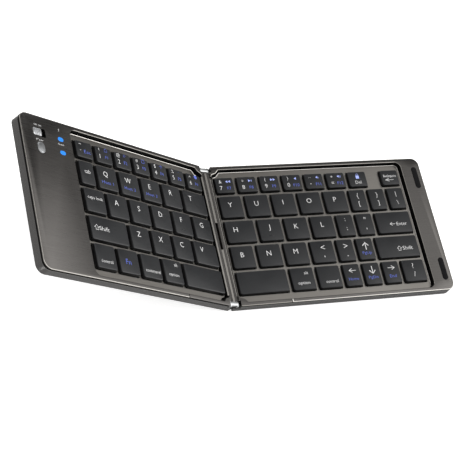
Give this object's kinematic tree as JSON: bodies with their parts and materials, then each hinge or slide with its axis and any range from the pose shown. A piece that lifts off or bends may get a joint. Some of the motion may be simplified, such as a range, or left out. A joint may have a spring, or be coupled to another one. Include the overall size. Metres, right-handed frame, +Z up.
{
  "type": "folding keyboard",
  "caption": "Slim folding wireless keyboard whose halves close face to face on a link hinge, with recessed key decks, low keycaps, slide switch and status lights.",
  "frame": {"origin": "middle of the footprint, on the surface that the right half's feet stand on", "axes": "+X to the right along the row of keys, +Y from the front edge to the back edge, +Z up; the right half lies flat and the left half is raised"},
  "size_m": [0.2962, 0.099, 0.0864],
  "materials": {
    "gunmetal_frame": "anodised gunmetal, finely brushed",
    "cover_shell": "gunmetal paint, satin",
    "deck_plate": "anodised grey, satin",
    "inner_plate": "plain sheet",
    "membrane_film": "printed film",
    "dome_rubber": "milky silicone",
    "black_rubber": "matt black",
    "steel": "plain steel",
    "hinge_steel": "bright satin steel",
    "circuit_board": "solder mask",
    "battery_foil": "foil pouch",
    "blue_light": "lit blue window",
    "silver_button": "satin silver",
    "flex_film": "dark film",
    "key_plastic": "fine satin black"
  },
  "bodies": {
    "right_half": {"right_bottom_cover": "cover_shell", "right_top_frame": "gunmetal_frame", "right_key_deck": "deck_plate", "right_support_plate": "inner_plate", "right_membrane": "membrane_film", "right_rubber_domes": "dome_rubber", "battery": "battery_foil", "right_feet": "black_rubber", "right_screws": "steel", "right_magnets": "steel", "right_bumper_pads": "black_rubber", "right_hinge_pins": "steel"},
    "left_half": {"left_bottom_cover": "cover_shell", "left_top_frame": "gunmetal_frame", "left_key_deck": "deck_plate", "left_support_plate": "inner_plate", "left_membrane": "membrane_film", "left_rubber_domes": "dome_rubber", "main_board": "circuit_board", "left_feet": "black_rubber", "left_screws": "steel", "left_magnets": "steel", "status_lights": "blue_light", "charging_socket": "steel", "left_hinge_pins": "steel"},
    "hinge_link": {"hinge_links": "hinge_steel", "flex_cable": "flex_film"},
    "switch_knob": {"power_switch_knob": "silver_button"},
    "connect_key": {"connect_button": "silver_button"},
    "right_number_keys_body": {"right_number_keys": "key_plastic"},
    "key_delete_body": {"key_delete": "key_plastic"},
    "key_backspace_body": {"key_backspace": "key_plastic"},
    "right_upper_letters_body": {"right_upper_letters": "key_plastic"},
    "right_home_letters_body": {"right_home_letters": "key_plastic"},
    "key_enter_body": {"key_enter": "key_plastic"},
    "right_lower_letters_body": {"right_lower_letters": "key_plastic"},
    "key_arrow_up_body": {"key_arrow_up": "key_plastic"},
    "key_right_shift_body": {"key_right_shift": "key_plastic"},
    "key_right_space_body": {"key_right_space": "key_plastic"},
    "key_right_alt_body": {"key_right_alt": "key_plastic"},
    "key_right_ctrl_body": {"key_right_ctrl": "key_plastic"},
    "key_arrow_left_body": {"key_arrow_left": "key_plastic"},
    "key_arrow_down_body": {"key_arrow_down": "key_plastic"},
    "key_arrow_right_body": {"key_arrow_right": "key_plastic"},
    "key_slash_body": {"key_slash": "key_plastic"},
    "left_number_keys_body": {"left_number_keys": "key_plastic"},
    "key_escape_body": {"key_escape": "key_plastic"},
    "left_upper_letters_body": {"left_upper_letters": "key_plastic"},
    "key_tab_body": {"key_tab": "key_plastic"},
    "left_home_letters_body": {"left_home_letters": "key_plastic"},
    "key_caps_lock_body": {"key_caps_lock": "key_plastic"},
    "left_lower_letters_body": {"left_lower_letters": "key_plastic"},
    "key_left_shift_body": {"key_left_shift": "key_plastic"},
    "key_left_space_body": {"key_left_space": "key_plastic"},
    "key_left_alt_body": {"key_left_alt": "key_plastic"},
    "key_menu_body": {"key_menu": "key_plastic"},
    "key_fn_body": {"key_fn": "key_plastic"},
    "key_left_ctrl_body": {"key_left_ctrl": "key_plastic"}
  },
  "joints": [
    {"name": "fold_right_pin", "type": "hinge", "parent": "right_half", "child": "hinge_link", "pos_m": [-0.00644, 0, 0.0058], "axis": [0, 1, 0], "range_deg": [-15, 75], "deforming": ["flex_cable"]},
    {"name": "fold_left_pin", "type": "hinge", "parent": "hinge_link", "child": "left_half", "pos_m": [-0.01166, 0, 0.0072], "axis": [0, 1, 0], "range_deg": [-15, 75]},
    {"name": "connect_button_press", "type": "slide", "parent": "left_half", "child": "connect_key", "axis": [-0.5, 0, -0.866], "range_m": [0, 0.0005], "stiffness_N_per_m": 400, "springref_m": -0.0005},
    {"name": "power_switch_slide", "type": "slide", "parent": "left_half", "child": "switch_knob", "axis": [0.866, 0, -0.5], "range_m": [0, 0.003]},
    {"name": "keys_right_number_row_press", "type": "slide", "parent": "right_half", "child": "right_number_keys_body", "axis": [0, 0, -1], "range_m": [0, 0.0015], "stiffness_N_per_m": 1800, "springref_m": -0.001, "deforming": ["right_rubber_domes"]},
    {"name": "key_delete_press", "type": "slide", "parent": "right_half", "child": "key_delete_body", "axis": [0, 0, -1], "range_m": [0, 0.0015], "stiffness_N_per_m": 300, "springref_m": -0.001, "deforming": ["right_rubber_domes"]},
    {"name": "key_backspace_press", "type": "slide", "parent": "right_half", "child": "key_backspace_body", "axis": [0, 0, -1], "range_m": [0, 0.0015], "stiffness_N_per_m": 300, "springref_m": -0.001, "deforming": ["right_rubber_domes"]},
    {"name": "keys_right_upper_letters_press", "type": "slide", "parent": "right_half", "child": "right_upper_letters_body", "axis": [0, 0, -1], "range_m": [0, 0.0015], "stiffness_N_per_m": 2400, "springref_m": -0.001, "deforming": ["right_rubber_domes"]},
    {"name": "keys_right_home_letters_press", "type": "slide", "parent": "right_half", "child": "right_home_letters_body", "axis": [0, 0, -1], "range_m": [0, 0.0015], "stiffness_N_per_m": 1800, "springref_m": -0.001, "deforming": ["right_rubber_domes"]},
    {"name": "key_enter_press", "type": "slide", "parent": "right_half", "child": "key_enter_body", "axis": [0, 0, -1], "range_m": [0, 0.0015], "stiffness_N_per_m": 300, "springref_m": -0.001, "deforming": ["right_rubber_domes"]},
    {"name": "keys_right_lower_letters_press", "type": "slide", "parent": "right_half", "child": "right_lower_letters_body", "axis": [0, 0, -1], "range_m": [0, 0.0015], "stiffness_N_per_m": 1500, "springref_m": -0.001, "deforming": ["right_rubber_domes"]},
    {"name": "key_arrow_up_press", "type": "slide", "parent": "right_half", "child": "key_arrow_up_body", "axis": [0, 0, -1], "range_m": [0, 0.0015], "stiffness_N_per_m": 300, "springref_m": -0.001, "deforming": ["right_rubber_domes"]},
    {"name": "key_right_shift_press", "type": "slide", "parent": "right_half", "child": "key_right_shift_body", "axis": [0, 0, -1], "range_m": [0, 0.0015], "stiffness_N_per_m": 300, "springref_m": -0.001, "deforming": ["right_rubber_domes"]},
    {"name": "key_right_space_press", "type": "slide", "parent": "right_half", "child": "key_right_space_body", "axis": [0, 0, -1], "range_m": [0, 0.0015], "stiffness_N_per_m": 300, "springref_m": -0.001, "deforming": ["right_rubber_domes"]},
    {"name": "key_right_alt_press", "type": "slide", "parent": "right_half", "child": "key_right_alt_body", "axis": [0, 0, -1], "range_m": [0, 0.0015], "stiffness_N_per_m": 300, "springref_m": -0.001, "deforming": ["right_rubber_domes"]},
    {"name": "key_right_ctrl_press", "type": "slide", "parent": "right_half", "child": "key_right_ctrl_body", "axis": [0, 0, -1], "range_m": [0, 0.0015], "stiffness_N_per_m": 300, "springref_m": -0.001, "deforming": ["right_rubber_domes"]},
    {"name": "key_arrow_left_press", "type": "slide", "parent": "right_half", "child": "key_arrow_left_body", "axis": [0, 0, -1], "range_m": [0, 0.0015], "stiffness_N_per_m": 300, "springref_m": -0.001, "deforming": ["right_rubber_domes"]},
    {"name": "key_arrow_down_press", "type": "slide", "parent": "right_half", "child": "key_arrow_down_body", "axis": [0, 0, -1], "range_m": [0, 0.0015], "stiffness_N_per_m": 300, "springref_m": -0.001, "deforming": ["right_rubber_domes"]},
    {"name": "key_arrow_right_press", "type": "slide", "parent": "right_half", "child": "key_arrow_right_body", "axis": [0, 0, -1], "range_m": [0, 0.0015], "stiffness_N_per_m": 300, "springref_m": -0.001, "deforming": ["right_rubber_domes"]},
    {"name": "key_slash_press", "type": "slide", "parent": "right_half", "child": "key_slash_body", "axis": [0, 0, -1], "range_m": [0, 0.0015], "stiffness_N_per_m": 300, "springref_m": -0.001, "deforming": ["right_rubber_domes"]},
    {"name": "keys_left_number_row_press", "type": "slide", "parent": "left_half", "child": "left_number_keys_body", "axis": [-0.5, 0, -0.866], "range_m": [0, 0.0015], "stiffness_N_per_m": 1800, "springref_m": -0.001, "deforming": ["left_rubber_domes"]},
    {"name": "key_escape_press", "type": "slide", "parent": "left_half", "child": "key_escape_body", "axis": [-0.5, 0, -0.866], "range_m": [0, 0.0015], "stiffness_N_per_m": 300, "springref_m": -0.001, "deforming": ["left_rubber_domes"]},
    {"name": "keys_left_upper_letters_press", "type": "slide", "parent": "left_half", "child": "left_upper_letters_body", "axis": [-0.5, 0, -0.866], "range_m": [0, 0.0015], "stiffness_N_per_m": 1500, "springref_m": -0.001, "deforming": ["left_rubber_domes"]},
    {"name": "key_tab_press", "type": "slide", "parent": "left_half", "child": "key_tab_body", "axis": [-0.5, 0, -0.866], "range_m": [0, 0.0015], "stiffness_N_per_m": 300, "springref_m": -0.001, "deforming": ["left_rubber_domes"]},
    {"name": "keys_left_home_letters_press", "type": "slide", "parent": "left_half", "child": "left_home_letters_body", "axis": [-0.5, 0, -0.866], "range_m": [0, 0.0015], "stiffness_N_per_m": 1500, "springref_m": -0.001, "deforming": ["left_rubber_domes"]},
    {"name": "key_caps_lock_press", "type": "slide", "parent": "left_half", "child": "key_caps_lock_body", "axis": [-0.5, 0, -0.866], "range_m": [0, 0.0015], "stiffness_N_per_m": 300, "springref_m": -0.001, "deforming": ["left_rubber_domes"]},
    {"name": "keys_left_lower_letters_press", "type": "slide", "parent": "left_half", "child": "left_lower_letters_body", "axis": [-0.5, 0, -0.866], "range_m": [0, 0.0015], "stiffness_N_per_m": 1200, "springref_m": -0.001, "deforming": ["left_rubber_domes"]},
    {"name": "key_left_shift_press", "type": "slide", "parent": "left_half", "child": "key_left_shift_body", "axis": [-0.5, 0, -0.866], "range_m": [0, 0.0015], "stiffness_N_per_m": 300, "springref_m": -0.001, "deforming": ["left_rubber_domes"]},
    {"name": "key_left_space_press", "type": "slide", "parent": "left_half", "child": "key_left_space_body", "axis": [-0.5, 0, -0.866], "range_m": [0, 0.0015], "stiffness_N_per_m": 300, "springref_m": -0.001, "deforming": ["left_rubber_domes"]},
    {"name": "key_left_alt_press", "type": "slide", "parent": "left_half", "child": "key_left_alt_body", "axis": [-0.5, 0, -0.866], "range_m": [0, 0.0015], "stiffness_N_per_m": 300, "springref_m": -0.001, "deforming": ["left_rubber_domes"]},
    {"name": "key_menu_press", "type": "slide", "parent": "left_half", "child": "key_menu_body", "axis": [-0.5, 0, -0.866], "range_m": [0, 0.0015], "stiffness_N_per_m": 300, "springref_m": -0.001, "deforming": ["left_rubber_domes"]},
    {"name": "key_fn_press", "type": "slide", "parent": "left_half", "child": "key_fn_body", "axis": [-0.5, 0, -0.866], "range_m": [0, 0.0015], "stiffness_N_per_m": 300, "springref_m": -0.001, "deforming": ["left_rubber_domes"]},
    {"name": "key_left_ctrl_press", "type": "slide", "parent": "left_half", "child": "key_left_ctrl_body", "axis": [-0.5, 0, -0.866], "range_m": [0, 0.0015], "stiffness_N_per_m": 300, "springref_m": -0.001, "deforming": ["left_rubber_domes"]}
  ]
}
